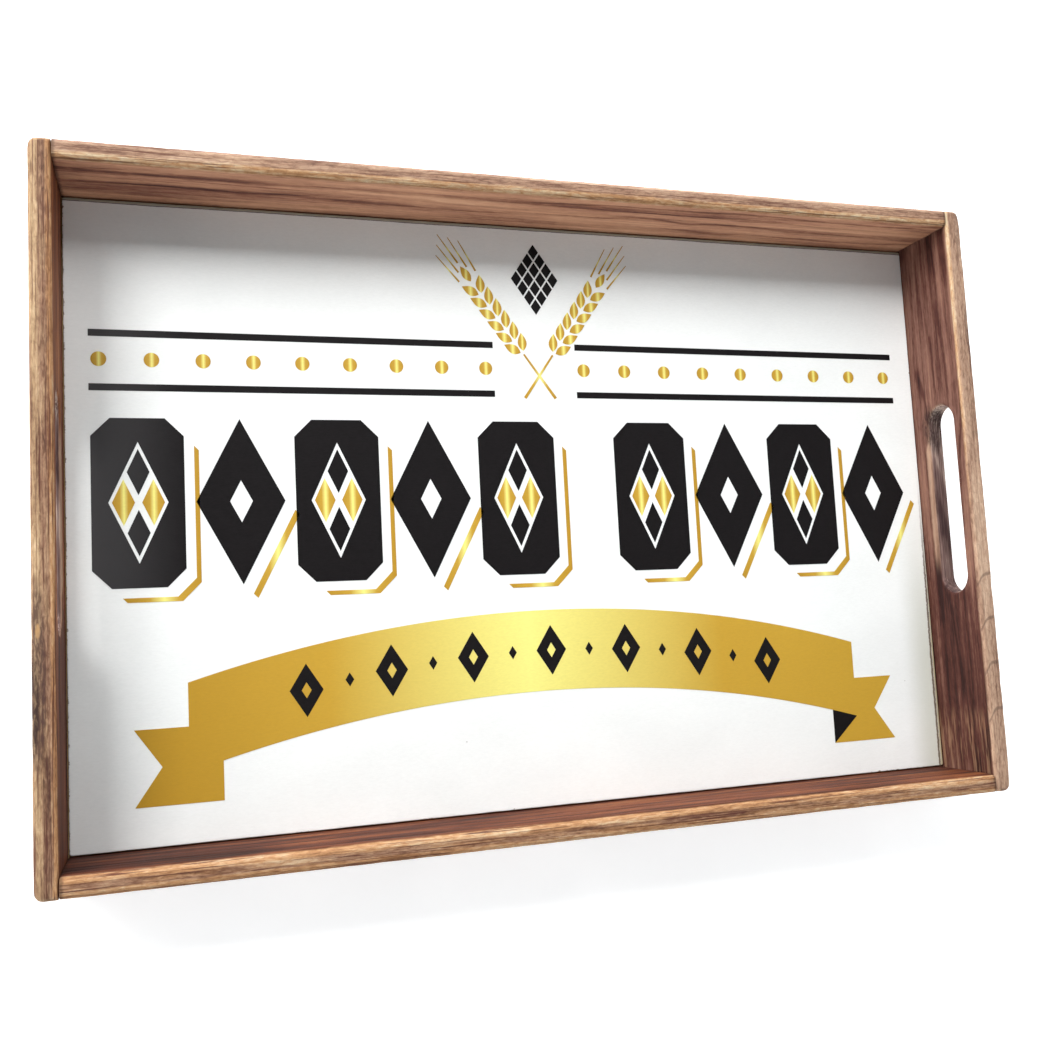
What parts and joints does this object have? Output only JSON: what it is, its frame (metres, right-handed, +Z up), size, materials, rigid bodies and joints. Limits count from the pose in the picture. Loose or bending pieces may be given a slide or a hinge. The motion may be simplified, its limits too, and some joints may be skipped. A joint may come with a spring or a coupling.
{
  "type": "wooden serving tray",
  "caption": "Rectangular stained-wood serving tray with nailed board walls, a hand slot through each end wall and a white printed board lying on its base.",
  "frame": {"origin": "middle of the tray's footprint, on the surface that it stands on", "axes": "+X along the tray, from one hand slot to the other; +Y across it, towards the back long wall; +Z up, out of the tray's mouth"},
  "size_m": [0.4572, 0.3048, 0.0508],
  "materials": {
    "stained_pine_end_walls": "torched and stained softwood, sanded back to tan along the edges, satin",
    "stained_pine_long_walls": "torched and stained softwood, sanded back to tan along the edges, satin",
    "plywood": "bare plywood, matt",
    "white_board": "hardboard painted off-white, low sheen",
    "nail_steel": "bright finish nails, slightly dulled"
  },
  "bodies": {
    "root": {"right_end_wall": "stained_pine_end_walls", "left_end_wall": "stained_pine_end_walls", "front_long_wall": "stained_pine_long_walls", "back_long_wall": "stained_pine_long_walls", "base_board": "plywood", "printed_panel": "white_board", "nail_right_front_low": "nail_steel", "nail_right_front_middle": "nail_steel", "nail_right_front_high": "nail_steel", "nail_right_back_low": "nail_steel", "nail_right_back_middle": "nail_steel", "nail_right_back_high": "nail_steel", "nail_left_front_low": "nail_steel", "nail_left_front_middle": "nail_steel", "nail_left_front_high": "nail_steel", "nail_left_back_low": "nail_steel", "nail_left_back_middle": "nail_steel", "nail_left_back_high": "nail_steel"}
  },
  "joints": []
}
